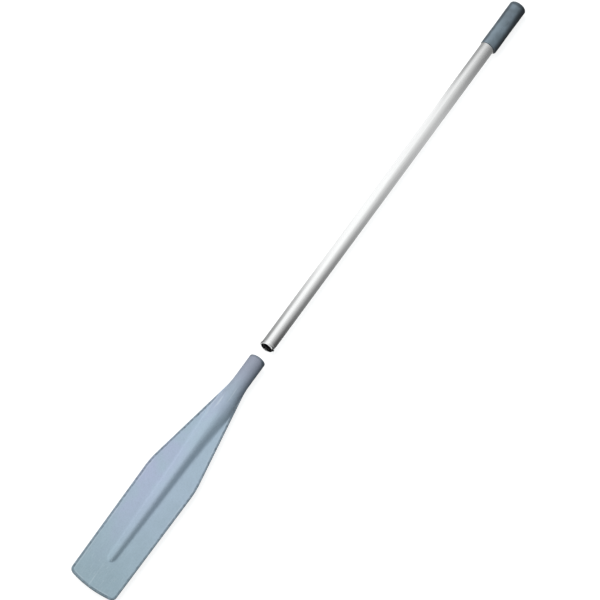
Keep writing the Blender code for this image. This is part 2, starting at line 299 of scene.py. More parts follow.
def turningTree():
    # Geometry Nodes that turn a profile round the X axis. The profile's points hold their
    # distance from the axis as y, and "shift" says how far each one's axis is moved along Y.
    group = bpy.data.node_groups.new("turning", "GeometryNodeTree")
    kinds = {"Profile": "Geometry", "Steps": "Int", "Height": "Float", "Finish": "Material"}
    for label, kind in kinds.items():
        group.interface.new_socket(label, in_out="INPUT", socket_type="NodeSocket" + kind)
    group.interface.new_socket("Piece", in_out="OUTPUT", socket_type="NodeSocketGeometry")
    tree = Tree(group)
    node = tree.node
    profile, steps, height, finish = [node("NodeGroupInput", output=label) for label in kinds]
    count = node("GeometryNodeAttributeDomainSize", values={"Geometry": profile})
    sheet = node("GeometryNodeMeshGrid", values={"Vertices X": steps + 1.0, "Vertices Y": count})
    index = node("GeometryNodeInputIndex")
    ring = index.math("DIVIDE", count).math("FLOOR")

    def sampled(kind, value):
        # what the profile's point of the same number in its ring holds
        values = {"Geometry": profile, "Value": value, "Index": index - ring * count}
        return node("GeometryNodeSampleIndex", {"data_type": kind}, values)

    shift = node("GeometryNodeInputNamedAttribute", {"data_type": "FLOAT"}, {"Name": "shift"})
    along, distance = sampled("FLOAT_VECTOR", node("GeometryNodeInputPosition")).xyz()[:2]
    turn = ring.math("DIVIDE", steps) * (2 * math.pi)
    across = distance * turn.math("COSINE") + sampled("FLOAT", shift)
    up = distance * turn.math("SINE") + height
    target = node("ShaderNodeCombineXYZ", values={0: along, 1: across, 2: up})
    bent = node("GeometryNodeSetPosition", values={"Geometry": sheet, "Position": target})
    welded = node("GeometryNodeMergeByDistance", values={"Geometry": bent, "Distance": weldDistance})
    smooth = node("GeometryNodeSetShadeSmooth", values={"Geometry": welded})
    real = node("GeometryNodeRealizeInstances", values={"Geometry": smooth})
    coated = node("GeometryNodeSetMaterial", values={"Geometry": real, "Material": finish})
    tree.feed(group.nodes.new("NodeGroupOutput").inputs[0], coated)
    return group


turning = turningTree()


def turned(name, profile, material, steps, shifts=None, height=axisZ):
    # profile: points of (x, distance from the axis), along the outside and back inside
    lines = [(i, i + 1) for i in range(len(profile) - 1)]
    mesh = bpy.data.meshes.new(name)
    mesh.from_pydata([(x, distance, 0) for x, distance in profile], lines, [])
    shift = mesh.attributes.new("shift", "FLOAT", "POINT")
    shift.data.foreach_set("value", shifts or [0.0] * len(profile))
    source = addObject(name, mesh)
    turner = source.modifiers.new("turning", "NODES")
    turner.node_group = turning
    given = {"Steps": steps, "Height": height, "Finish": material}
    for socket in turning.interface.items_tree:
        if socket.name in given:
            turner[socket.identifier] = given[socket.name]
    # the result becomes a plain mesh, with its normals pointing out
    bm = bmesh.new()
    bm.from_mesh(evaluated(source))
    bpy.data.objects.remove(source)
    bmesh.ops.recalc_face_normals(bm, faces=bm.faces)
    piece = addMesh(name, bm)
    coat(piece, material)
    return piece


# Shaft tube

tube = {
    "diameter": 0.030,
    "wall": 0.0015,
    "beadRise": 0.0008,  # the rolled end stands out of the tube
    "beadRoll": 0.0006,  # and is rolled in a little
    "beadLength": 0.0033,
    "slopeOutside": 0.005,  # length over which the bead runs out
    "slopeInside": 0.003,
    "notchWidth": 0.008,
    "notchDepth": 0.007,
    "notchTurn": math.radians(60),
    "buttonHole": 0.0043,  # radius
    "sharpAngle": 32,
}
keyPlace = Matrix.Translation((0, 0, axisZ)) @ Matrix.Rotation(tube["notchTurn"], 4, "X")

# in each look a noise is its scale, its detail and its stretch along the axes, and a span
# is where something starts and where it is full
metalLook = {
    "base": (0.91, 0.92, 0.92),
    "drawn": (0.66, 0.67, 0.67),  # in the die lines
    "paintedDark": (0.035, 0.035, 0.04),  # painted shade inside the bore, also used for a painted dark reflection on the end
    "roughness": 0.17,
    "dieLines": (1100, 2, 0.002, 1, 1),
    "broadLines": (120, 1, 0.01, 1, 1),
    "cloudy": (26, 3, 0.35, 1, 1),
    "dieDepth": 0.0000025,
    "dieShare": 0.45,
    "broadShare": 0.4,
    "boreSpan": (0.0007, 0.0002),  # distances past the bore's wall
    "boreShadeSpan": (0.0015, 0.009),  # depths in the bore over which the painted shade deepens
    "endDarkSpan": (0.014, 0.003),  # a painted dark reflection on the end
    "endDarkSide": (0.0105, 0.014),  # towards +Y
    "endDarkShare": 0.45,
}


def tubeFinish():
    look = metalLook
    finish = Finish("tube_aluminium", look, Metallic=1.0)
    x, y = finish.place.xyz()[:2]
    depth = x - tubeLow.x  # distance from the open end
    dieLines = finish.noise("dieLines")
    cloudy = finish.noise("cloudy")
    patches = finish.noise("broadLines").ramp(0.45, 0.75) * cloudy.ramp(0.4, 0.7)
    finish.paint(dieLines.ramp(0.45, 0.8) * look["dieShare"], "drawn")
    finish.paint(patches * look["broadShare"], "drawn")
    # painted shade: the bore gets darker deeper inside
    bore = tube["diameter"] / 2 - tube["wall"]
    inside = (finish.axisDistance() - bore).ramp(*look["boreSpan"])
    deep = inside * depth.ramp(*look["boreShadeSpan"])
    finish.paint(deep, "paintedDark")
    # painted dark reflection on the upper side of the rolled end
    endDark = depth.ramp(*look["endDarkSpan"]) * y.ramp(*look["endDarkSide"])
    finish.paint(endDark * (1 - inside) * look["endDarkShare"], "paintedDark")
    rough = look["roughness"] + dieLines.ramp(0.3, 0.8) * 0.07 + cloudy * 0.05
    finish.set("Roughness", rough + deep * 0.4)
    finish.bump(dieLines, look["dieDepth"], 0.4)
    return finish.material


def keyNotch(start, outer, bore):
    # the cutter for an open slot with a round bottom, which the socket's key enters. It
    # reaches from inside the bore to outside the tube.
    half = tube["notchWidth"] / 2
    outline = [(start - half, -half)]
    outline += arc((start + tube["notchDepth"] - half, 0), half, -90, 90, 20)
    outline += [(start - half, half)]
    bm = bmesh.new()
    floor = bm.faces.new([bm.verts.new((x, y, bore * 0.6)) for x, y in outline])
    grown = bmesh.ops.extrude_face_region(bm, geom=[floor])["geom"]
    raised = [part for part in grown if isinstance(part, bmesh.types.BMVert)]
    bmesh.ops.translate(bm, vec=(0, 0, outer), verts=raised)
    bmesh.ops.recalc_face_normals(bm, faces=bm.faces)
    notch = addMesh("key_notch", bm)
    notch.matrix_world = keyPlace
    return notch


def makeTube():
    start, end = tubeLow.x, tubeHigh.x
    outer = tube["diameter"] / 2
    bore = outer - tube["wall"]
    bead = outer + tube["beadRise"]
    rolled = bore - tube["beadRoll"]
    lip = (bead - rolled) / 2  # the end is rolled to a full round
    neck = start + tube["beadLength"]
    profile = [(end, outer)]
    profile += eased((neck + tube["slopeOutside"], outer), (neck, bead), 12)
    profile += arc((start + lip, rolled + lip), lip, 90, 270, 20)
    profile += eased((neck, rolled), (neck + tube["slopeInside"], bore), 8)
    profile += [(end, bore), (end, outer)]
    piece = turned("shaft_tube_metal", profile, tubeFinish(), steps=160)
    cut(piece, keyNotch(start, outer, bore))
    cut(piece, solidRod("button_hole", buttonX, tube["buttonHole"], -outer * 1.4, -bore * 0.5, 64))
    sharpen(piece, tube["sharpAngle"])
    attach(piece, "shaft")
    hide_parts("shaft_tube")


# Grip

grip = {
    "offset": -0.0015,  # the sleeve is thicker on its lower side
    "endRound": 0.0055,
    "mouthRound": 0.0012,
    "endWall": 0.005,
    "clearance": 0.0003,  # between the tube and the sleeve
    "lip": 0.0004,  # how far the mouth's edge is from the bore's start
    "unevenness": 0.00012,
    "waves": 9.0,
    "sharpAngle": 40,
}

rubberLook = {
    "base": linear(104, 116, 124),
    # paler blotches, and also the painted light on the upper side and near the end
    "pale": linear(124, 137, 147),
    # darker spots and pores, and the painted shade towards the closed end
    "deep": linear(82, 88, 94),
    "grimeAndShade": linear(26, 31, 35),  # painted shade along the lower side, the upper edge and round the end
    "roughness": 0.5,
    "blotches": (48, 3, 0.8, 1, 1),
    "spots": (30, 2),
    "pores": (1300, 3),
    "poreDepth": 0.0001,
    "poreShade": 0.25,
    "spotShade": 0.7,
    "nearShade": 0.45,
    "paintedLightShare": 0.6,
    "lowerShade": 0.78,
    "upperEdgeShade": 0.5,
    "endShade": 0.55,
    "endWander": 0.003,
    "sideWander": 0.25,
    "nearSpread": 0.18,  # how far the lower side's painted shade reaches up at the end
    "lowerSpan": (0.34, 0.97),  # from 0 on the ridge to 1 on the lower side
    "upperSpan": (-0.55, -0.76),  # and -1 on the upper one
    "endSpan": (0.0125, 0.007),  # these are depths from the closed end
    "endHighlightSpan": (0.026, 0.017),
    "nearSpan": (0.075, 0.01),
}


def gripFinish():
    look = rubberLook
    finish = Finish("grip_rubber", look, IOR=1.4)
    x, y = finish.place.xyz()[:2]
    fromEnd = gripHigh.x - x
    blotches = finish.noise("blotches")
    pores = finish.noise("pores")
    finish.paint(blotches.ramp(0.35, 0.7), "pale")
    finish.paint(finish.noise("spots").ramp(0.5, 0.8) * look["spotShade"], "deep")
    finish.paint(pores.ramp(0.5, 0.75) * look["poreShade"], "deep")

    # how far a point lies on the lower side, and the painted shade and painted light laid by it
    radius = (gripHigh.z - gripLow.z) / 2
    aside = y * (-1 / radius) + (blotches - 0.5) * look["sideWander"]
    nearEnd = fromEnd.ramp(*look["nearSpan"])
    lower = (aside + nearEnd * look["nearSpread"]).ramp(*look["lowerSpan"]) * look["lowerShade"]
    upper = aside.ramp(*look["upperSpan"]) * look["upperEdgeShade"]
    end = (fromEnd - (blotches - 0.5) * look["endWander"]).ramp(*look["endSpan"])
    end = end * (lower * 0.35 + look["endShade"])
    # painted light: the upper side is paler, less so towards the end
    finish.paint(aside.ramp(0.05, -0.5) * look["paintedLightShare"] * (1 - nearEnd), "pale")
    # painted shade towards the closed end
    finish.paint(nearEnd * look["nearShade"], "deep")
    # painted highlight near the closed end on the upper side
    wearAndHighlight = fromEnd.ramp(*look["endHighlightSpan"]) * aside.ramp(0.2, -0.3)
    finish.paint(wearAndHighlight * look["paintedLightShare"], "pale")
    # painted shade along the lower side and the upper edge, and round the closed end
    finish.paint((lower + upper).orMore(end), "grimeAndShade")
    finish.set("Roughness", look["roughness"] + blotches * 0.2)
    finish.bump(pores, look["poreDepth"], 0.7)
    return finish.material


def makeGrip():
    start, end = gripLow.x, gripHigh.x
    outer = (gripHigh.z - gripLow.z) / 2
    bore = tube["diameter"] / 2 + grip["clearance"]
    endRound, mouthRound = grip["endRound"], grip["mouthRound"]
    outside = [(end, 0.0)] + arc((end - endRound, outer - endRound), endRound, 0, 90, 14)
    # a slow, shallow unevenness, as soft sleeves have
    steps = 60
    for i in range(1, steps):
        share = i / steps
        x = end - endRound - share * (end - start - endRound - mouthRound)
        dip = grip["unevenness"] * math.sin(math.pi * share) * (math.sin(grip["waves"] * share) - 1)
        outside.append((x, outer + dip))
    outside += arc((start + mouthRound, outer - mouthRound), mouthRound, 90, 180, 8)
    floor = end - grip["endWall"]
    inside = [(start + grip["lip"], bore), (start + 2 * grip["lip"], bore), (floor, bore), (floor, 0.0)]
    shifts = [grip["offset"]] * len(outside) + [0.0] * len(inside)
    piece = turned("grip_sleeve", outside + inside, gripFinish(), steps=128, shifts=shifts)
    sharpen(piece, grip["sharpAngle"])
    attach(piece, "shaft")
    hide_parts("grip")


# Blade

# stations are measured from the socket's mouth towards the tip
blade = {
    "shoulderHalf": 0.05629,  # half the width where the flare meets the long sides
    "tipHalf": 0.0542,
    "plateHalf": 0.0024,  # half the plate's thickness
    "edge": 0.0020,  # radius of the plate's rounded edge
    "flareStart": 0.073,
    "flareBlend": 0.015,
    "shoulder": 0.313,
    "shoulderRadius": 0.225,
    "tipRadius": 0.205,
    "tipCorner": 0.0125,
    "tipGap": 0.000001,  # keeps the tip within its solid
    "socket": 0.0175,  # outer radius
    "bore": 0.0160,
    "boreDepth": 0.091,
    "spineStart": 0.094,  # end of the round socket
    "spineFull": 0.21,  # from here on the spine rises from a full plate
    "spineEnd": 0.548,
    "spineNose": 0.014,
    "noseRound": 0.8,  # power of the nose's round
    "noseWidth": 0.3,  # share of the width that its very end keeps
    "spineFillet": 0.0022,
    "toeRound": 0.18,  # share of its half-width over which its foot is rounded
    # steps of that share, and how much the section counts there
    "toeWeights": [(-1, 0.11), (-0.5, 0.23), (0, 0.32), (0.5, 0.23), (1, 0.11)],
    "lockStation": 0.010,
    "lockHole": 0.0043,  # radius
    "dish": 0.0140,
    "dishDepth": 0.0008,
    "keyHalf": 0.0035,
    "keyInner": 0.0124,  # from the axis to the key's inner side
    "keyLength": 0.004,
    "keyRoot": 0.00075,
    "keyEdge": 0.0004,
    "firstRow": 0.0016,  # the socket's lip is in front of it
    # the end of each stretch of rows and its steps, up to the flat of the tip
    "rows": [(0.073, 15), (0.20, 55), (0.528, 79), (0.549, 21), (0.56, 4)],
    "columns": 44,  # steps from the crest to the rim
    "spineColumns": 0.6,  # share of them that lies on the spine
    "crowdSpan": (0.073, 0.16),  # stations over which these crowd onto it
    "rimSteps": 7,
    "tipRows": 26,
    "sharpAngle": 40,
}

# the spine's half-width and half-height at some stations, and the power of its section:
# 0.5 is round, higher values are bell-shaped
spine = {
    "widths": [
        (0.0, 0.0175), (0.094, 0.0175), (0.115, 0.0225), (0.138, 0.0248), (0.18, 0.0222),
        (0.224, 0.0182), (0.272, 0.0158), (0.404, 0.0135), (0.514, 0.0104), (0.55, 0.0094),
    ],
    "heights": [
        (0.0, 0.0175), (0.094, 0.0175), (0.16, 0.0160), (0.25, 0.0138), (0.37, 0.0114),
        (0.50, 0.0090), (0.55, 0.0082),
    ],
    "powers": [
        (0.0, 0.5), (0.094, 0.5), (0.131, 1.0), (0.184, 1.65), (0.25, 1.55), (0.37, 1.7),
        (0.55, 1.7),
    ],
}

plasticLook = {
    "base": linear(166, 183, 197),
    "moss": linear(146, 166, 174),  # greener towards the tip
    "violet": linear(173, 180, 204),  # bluer along the upper side
    "socketTone": linear(140, 144, 158),  # darker round the socket
    "scuff": linear(203, 212, 216),
    "grimeAndShade": linear(84, 95, 104),
    "roughness": 0.51,
    "clouds": (7, 2, 0.6, 1.4, 1),
    "patches": (34, 3, 0.7, 1, 1),
    "fine": (60, 3),
    "mottle": (420, 3),
    "strokes": (520, 2, 0.1, 1, 1),
    "longStrokes": (240, 1, 0.06, 1, 1),
    "strokeAreas": (9, 2),
    "dashes": (150, 2),  # breaks in the dark line along the edges
    "grain": (1500, 2),
    "grainDepth": 0.00006,
    "mottleGrime": 0.14,
    "crestShade": 0.11,
    "startShade": 0.3,
    "edgeShade": 0.58,
    "boreShade": 0.7,
    "strokeScuff": 0.22,
    "longScuff": 0.3,
    "edgeScuff": 0.3,
    "rimReach": 0.007,  # width of the band inside the edge that holds the painted dark line and the worn line
    # stations
    "rimSpan": (0.088, 0.143),
    "mossSpan": (0.33, 0.618),
    "socketToneSpan": (0.17, -0.005),
    "socketToneWander": 0.03,
    "crestSpan": (0.06, 0.11),
    "startSpan": (0.19, 0.105),
    "endLineSpan": (0.0065, 0.003),
    "endLineSlant": 0.006,
    "lowLineSpan": (0.09, 0.02),
    "lowLineWander": 0.05,
    # heights over the blade's middle plane, and places along Y
    "crestHeight": (0.0025, 0.0045),
    "crestSide": (-0.0055, -0.0005),
    "violetSide": (-0.03, 0.05),
    # distances towards -Y
    "startSide": (0.0135, 0.02),
    "endLineSide": (0.005, 0.015),
    "lowLineSide": (0.0085, 0.0145),
    # distances past the bore's wall and floor
    "boreSpan": (0.0006, -0.0002),
    "floorSpan": (0.004, -0.002),
}


def bladeFinish():
    look = plasticLook
    finish = Finish("blade_plastic", look, IOR=1.42)
    x, y, z = finish.place.xyz()
    station = mouthX - x
    down = y * -1.0  # towards the lower side
    rim = finish.node("ShaderNodeAttribute", {"attribute_name": "rim"}, output="Fac")
    patches = finish.noise("patches")
    fine = finish.noise("fine")
    strokes = finish.noise("strokes")
    dashes = finish.noise("dashes") - 0.5

    # broad tints
    clouds = finish.noise("clouds")
    towardsTip = station.ramp(*look["mossSpan"])
    wander = (clouds - 0.5) * 0.8 + (patches - 0.5) * 0.9 + (fine - 0.5) * 0.2
    finish.paint(towardsTip * 0.9 + wander, "moss")
    upper = y.ramp(*look["violetSide"]) * (1 - towardsTip)
    finish.paint((clouds * 0.6 + patches * 0.4).ramp(0.42, 0.6) * (upper * 0.8 + 0.1), "violet")
    # darker round the socket
    socketTone = station - (fine - 0.5) * look["socketToneWander"]
    finish.paint(socketTone.ramp(*look["socketToneSpan"]), "socketTone")

    # painted shade: the spine is a little darker than the plate, but for its lower flank, and so is the
    # narrow start of the plate's lower half
    crest = (z - axisZ).ramp(*look["crestHeight"]) * y.ramp(*look["crestSide"])
    finish.paint(crest * station.ramp(*look["crestSpan"]) * look["crestShade"], "grimeAndShade")
    start = station.ramp(*look["startSpan"]) * down.ramp(*look["startSide"])
    finish.paint(start * look["startShade"], "grimeAndShade")
    finish.paint(finish.noise("mottle").ramp(0.3, 0.8) * look["mottleGrime"], "grimeAndShade")

    # scuffs: long pale strokes here and there, finer ones near the tip and the edges, and
    # a worn line inside the edge
    scratched = strokes.ramp(0.6, 0.72) * (towardsTip + rim * 0.8 + fine * 0.3).ramp(0.4, 1.3)
    long = finish.noise("longStrokes").ramp(0.64, 0.72) * finish.noise("strokeAreas").ramp(0.5, 0.62)
    finish.paint(scratched * look["strokeScuff"] + long * look["longScuff"], "scuff")
    wearAndHighlight = (rim.ramp(0.0, 0.18) - rim.ramp(0.18, 0.4)) * patches.ramp(0.4, 0.6)
    finish.paint(wearAndHighlight * look["edgeScuff"], "scuff")

    # painted shade: a dark line along the edges, round the socket's end and along the socket's lower
    # side
    edging = (rim + dashes * 0.22).ramp(0.22, 0.52)
    low = down.ramp(*look["endLineSide"])
    endLine = (station - low * look["endLineSlant"]).ramp(*look["endLineSpan"])
    lowLine = (station - (patches - 0.5) * look["lowLineWander"]).ramp(*look["lowLineSpan"])
    lowLine = lowLine * down.ramp(*look["lowLineSide"])
    edging = edging.orMore(endLine * (0.85 + low * 0.6)).orMore(lowLine * 0.6)
    finish.paint(edging * (look["edgeShade"] + dashes * 1.1), "grimeAndShade")

    # the bore, painted darker inside as painted shade
    inside = (finish.axisDistance() - blade["bore"]).ramp(*look["boreSpan"])
    inside = inside * (station - blade["boreDepth"]).ramp(*look["floorSpan"])
    finish.paint(inside * look["boreShade"], "grimeAndShade")
    finish.set("Roughness", look["roughness"] + fine * 0.14 + scratched * 0.1)
    finish.bump(finish.noise("grain") * 0.6 + strokes * 0.4, look["grainDepth"], 0.5)
    return finish.material


def smoothStep(value, low, high):
    share = np.clip((value - low) / (high - low), 0, 1)
    return share * share * (3 - 2 * share)


def smoothed(table):
    # the table at every millimetre of the blade, with its corners rounded off
    stations = np.arange(round(1000 * (bladeHigh.x - bladeLow.x)) + 1) / 1000
    reach = 12  # millimetres
    window = np.hanning(2 * reach + 3)[1:-1]
    values = np.pad(np.interp(stations, *zip(*table)), reach, mode="edge")
    return stations, np.convolve(values, window / window.sum(), "valid")


def plateOutline():
    # the outline's slopes and the centres of its round stretches, as in the CAD, and the
    # angles from the oar's line at which the tip's corner starts and ends
    b = blade
    flare = math.atan2(b["shoulderHalf"] - b["socket"], b["shoulder"] - b["flareStart"])
    tipCentre = bladeHigh.x - bladeLow.x - b["tipGap"] - b["tipRadius"]
    cornerY = b["tipHalf"] - b["tipCorner"]
    cornerX = tipCentre + math.sqrt((b["tipRadius"] - b["tipCorner"]) ** 2 - cornerY ** 2)
    taper = math.atan2(b["shoulderHalf"] - b["tipHalf"], cornerX - b["shoulder"])
    turns = math.pi / 2 - taper, math.atan2(cornerY, cornerX - tipCentre)
    return flare, taper, tipCentre, cornerX, cornerY, *turns


flare, taper, tipCentre, cornerX, cornerY, sideTurn, tipTurn = plateOutline()


def halfWidth(station):
    # half the plate's width up to where the tip's corner starts
    b = blade
    radius, blend = b["shoulderRadius"], b["flareBlend"]
    reach = radius * math.tan((flare + taper) / 2)
    startX = b["shoulder"] - reach * math.cos(flare)
    startY = b["shoulderHalf"] - reach * math.sin(flare)
    centreX = startX + radius * math.sin(flare)
    centreY = startY - radius * math.cos(flare)
    out = station - b["flareStart"]
    if out < -blend:
        return b["socket"]
    if out < blend:
        return b["socket"] + (out + blend) ** 2 / (4 * blend) * math.tan(flare)
    if station < startX:
        return b["socket"] + out * math.tan(flare)
    if station < centreX + radius * math.sin(taper):
        return centreY + math.sqrt(radius ** 2 - (station - centreX) ** 2)
    return b["shoulderHalf"] - (station - b["shoulder"]) * math.tan(taper)


def edgeDistance(station, y):
    # how far a point of the plate lies inside its outline
    b = blade
    y = abs(y)
    side = (halfWidth(min(station, cornerX)) - y) * math.cos(taper)
    end = b["tipRadius"] - math.hypot(station - tipCentre, y)
    if station > cornerX and y > cornerY:
        return min(side, end, b["tipCorner"] - math.hypot(station - cornerX, y - cornerY))
    return min(side, end) if station > tipCentre else side


def heightOver(y, station, half, curves):
    # the upper surface's height over the blade's middle plane, across one section
    b = blade
    wide, high, power = (np.interp(station, *curve) for curve in curves)
    nose = max(0.0, station - (b["spineEnd"] - b["spineNose"])) / b["spineNose"]
    rounding = max(0.0, 1 - nose * nose) ** b["noseRound"]
    bell = smoothStep(station, b["spineStart"], b["spineFull"])
    base = b["plateHalf"] * bell
    # the corners where the spine runs out into the plate are rounded off
    reach = wide * (b["noseWidth"] + (1 - b["noseWidth"]) * rounding)
    rise = 0.0
    for step, weight in b["toeWeights"]:
        share = np.abs(y + step * b["toeRound"] * wide * bell) / reach
        rise = rise + weight * (1 - np.clip(share, 0, 1) ** 2) ** power
    spineTop = np.where(rise > 0, base + (high - base) * rise * rounding, -1.0)
    blendStart = b["flareStart"] - b["flareBlend"]
    if station <= blendStart:
        return spineTop
    into = np.clip((half - np.abs(y)) / b["edge"], 0, 1)
    plate = b["plateHalf"] - b["edge"] + b["edge"] * np.sqrt(np.clip(1 - (1 - into) ** 2, 0, 1))
    # the two are joined by a fillet, which is none at the socket and over the full plate
    soft = b["spineFillet"] * smoothStep(station, blendStart, b["spineStart"]) * (1 - bell) + 1e-7
    over = np.clip(0.5 + 0.5 * (spineTop - plate) / soft, 0, 1)
    return plate * (1 - over) + spineTop * over + soft * over * (1 - over)


def sectionPoints(station, curves):
    # one section from the crest out to the edge: even steps to the rim, then the rim
    b = blade
    half = halfWidth(station)
    fine = half * np.sin(np.linspace(0, math.pi / 2, 1500))
    high = heightOver(fine, station, half, curves)
    high[-1] = 0.0
    run = np.concatenate([[0], np.cumsum(np.hypot(np.diff(fine), np.diff(high)))])
    rimStart = run[np.nonzero(high >= b["plateHalf"] * 0.9995)[0][-1]]
    # the inner columns end where the spine does, once they have crowded onto it
    share = b["spineColumns"]
    crowd = smoothStep(station, *b["crowdSpan"])
    toe = run[np.searchsorted(fine, min(np.interp(station, *curves[0]), half * 0.95))]
    split = (1 - crowd) * share * rimStart + crowd * min(toe, rimStart * 0.8)
    inner = np.linspace(0, split, int(b["columns"] * share), endpoint=False)
    outer = np.linspace(split, rimStart, b["columns"] - len(inner) + 1)
    turns = np.linspace(0, math.pi / 2, b["rimSteps"] + 1)[1:]
    at = np.concatenate([inner, outer, rimStart + (run[-1] - rimStart) * np.sin(turns)])
    return np.interp(at, run, fine), np.interp(at, run, high)


def bladeSections():
    # upper half sections from the mouth to where the tip's flat starts, each from -Y to +Y
    stations = [blade["firstRow"]]
    for end, steps in blade["rows"]:
        stations += list(np.linspace(stations[-1], end, steps + 1)[1:])
    curves = [smoothed(table) for table in spine.values()]
    sections = []
    for station in stations:
        half = [(station, y, z) for y, z in zip(*sectionPoints(station, curves))]
        sections.append([(station, -y, z) for station, y, z in half[:0:-1]] + half)
    return sections


def tipFlat(startRow, tipStart):
    # the flat of the tip as rows of points, blended from the last section to the tip's outline
    b = blade
    columns, rows = len(startRow), b["tipRows"]
    corner = b["tipCorner"] - b["edge"]
    tip = b["tipRadius"] - b["edge"]
    midTurn = (sideTurn + tipTurn) / 2

    def onCorner(turn):
        return Vector((cornerX + corner * math.cos(turn), cornerY + corner * math.sin(turn)))

    # along the side to the middle of the corner
    sideLength = cornerX - tipStart
    sides = []
    for i in range(1, rows + 1):
        run = (sideLength + corner * (sideTurn - midTurn)) * i / rows
        if run < sideLength:
            sides.append(Vector((tipStart + run, halfWidth(tipStart + run) - b["edge"])))
        else:
            sides.append(onCorner(sideTurn - (run - sideLength) / corner))

    # and over the end from the middle of the -Y corner to the middle of the +Y one
    endLength = tip * tipTurn
    endRow = []
    for j in range(columns):
        run = (endLength + corner * (midTurn - tipTurn)) * (2 * j / (columns - 1) - 1)
        if abs(run) <= endLength:
            point = Vector((tipCentre + tip * math.cos(run / tip), tip * math.sin(abs(run) / tip)))
        else:
            point = onCorner(tipTurn + (abs(run) - endLength) / corner)
        endRow.append(Vector((point.x, math.copysign(point.y, run))))

    flat = []
    for i, side in enumerate(sides, 1):
        share = i / rows
        row = []
        for j, (near, far) in enumerate(zip(startRow, endRow)):
            across = j / (columns - 1)
            edge = Vector((side.x, -side.y)).lerp(side, across)
            start, end = startRow[0].lerp(startRow[-1], across), endRow[0].lerp(endRow[-1], across)
            row.append(edge + near.lerp(far, share) - start.lerp(end, share))
        flat.append(row)
    return flat


def outward(station, y):
    # the direction out of the tip's outline, in the scene's X and Y
    turn = math.atan2(abs(y), station - tipCentre)
    if station <= cornerX and abs(y) > cornerY:
        turn = sideTurn
    elif turn > tipTurn:
        turn = math.atan2(abs(y) - cornerY, station - cornerX)
    return Vector((-math.cos(turn), math.copysign(math.sin(turn), y), 0))


def bladeVert(bm, station, y, z):
    return bm.verts.new((mouthX - station, y, axisZ + z))


def buildTip(bm, skins, section):
    # the flat of the tip on both sides, and its rim, whose outermost row they share
    b = blade
    rimSteps, edge = b["rimSteps"], b["edge"]
    inner = slice(rimSteps, len(section) - rimSteps)
    flat = tipFlat([Vector(point[:2]) for point in section[inner]], section[0][0])
    turns = np.linspace(0, math.pi / 2, rimSteps + 1)[1:-1]
    outermost = None
    for sign, skin in zip((1, -1), skins):
        grid = [skin[-1][inner]]
        grid += [[bladeVert(bm, p.x, p.y, sign * b["plateHalf"]) for p in points] for points in flat]
        bridge(bm, grid)
        start = [row[0] for row in grid] + grid[-1][1:-1] + [row[-1] for row in reversed(grid)]
        middle = [(vert.co.copy(), outward(mouthX - vert.co.x, vert.co.y)) for vert in start[1:-1]]

        def rimRow(k, depth, height):
            ends = skin[-1][rimSteps - 1 - k], skin[-1][k - rimSteps]
            places = [co + out * depth for co, out in middle]
            return [ends[0]] + [bm.verts.new((p.x, p.y, axisZ + height)) for p in places] + [ends[1]]

        rim = [start]
        for k, turn in enumerate(turns):
            height = b["plateHalf"] - edge + edge * math.cos(turn)
            rim.append(rimRow(k, edge * math.sin(turn), sign * height))
        outermost = outermost or rimRow(rimSteps - 1, edge, 0.0)
        bridge(bm, rim + [outermost])


def buildSocket(bm, first):
    # the mouth's rolled lip, the bore and its floor, ring by ring
    b = blade
    around = [math.atan2(vert.co.z - axisZ, vert.co.y) for vert in first]
    lip = (b["socket"] - b["bore"]) / 2
    steps = 12
    turns = np.linspace(0.15, math.pi, steps)
    profile = [(lip - lip * math.sin(a), b["socket"] - lip + lip * math.cos(a)) for a in turns]
    profile += [(b["boreDepth"] * i / steps, b["bore"]) for i in range(1, steps + 1)]
    rings = [first]
    for station, radius in profile:
        places = [(radius * math.cos(a), radius * math.sin(a)) for a in around]
        rings.append([bladeVert(bm, station, y, z) for y, z in places])
    bridge(bm, rings, closed=True)
    bm.faces.new(rings[-1])


def markRim(bm):
    # 1 at the plate's edge, falling to 0 inside it, for the finish
    look = plasticLook
    rim = bm.verts.layers.float.new("rim")
    for vert in bm.verts:
        station = mouthX - vert.co.x
        near = max(0.0, edgeDistance(station, vert.co.y)) / look["rimReach"]
        vert[rim] = max(0.0, 1 - near) * smoothStep(station, *look["rimSpan"])


def socketKey():
    # stands on the socket's floor and fits the tube's notch
    b = blade
    floor = mouthX - b["boreDepth"]
    low = Vector((floor - b["keyRoot"], -b["keyHalf"], b["keyInner"]))
    high = Vector((floor + b["keyLength"], b["keyHalf"], b["bore"] + b["keyRoot"]))
    bm = bmesh.new()
    bmesh.ops.create_cube(bm, size=1.0)
    for vert in bm.verts:
        vert.co = (low + high) / 2 + vert.co * (high - low)
    bmesh.ops.bevel(bm, geom=bm.edges[:], offset=b["keyEdge"], segments=2, affect="EDGES")
    key = addMesh("socket_key", bm)
    key.matrix_world = keyPlace
    return key


def thumbDish(lockX):
    # a ball that cuts a shallow dish round the locking hole
    b = blade
    ball = ((b["dish"] / 2) ** 2 + b["dishDepth"] ** 2) / (2 * b["dishDepth"])
    bm = bmesh.new()
    bmesh.ops.create_uvsphere(bm, u_segments=96, v_segments=96, radius=ball)
    dish = addMesh("thumb_dish", bm)
    dish.matrix_world = Matrix.Translation((lockX, 0, axisZ - b["socket"] + b["dishDepth"] - ball))
    return dish


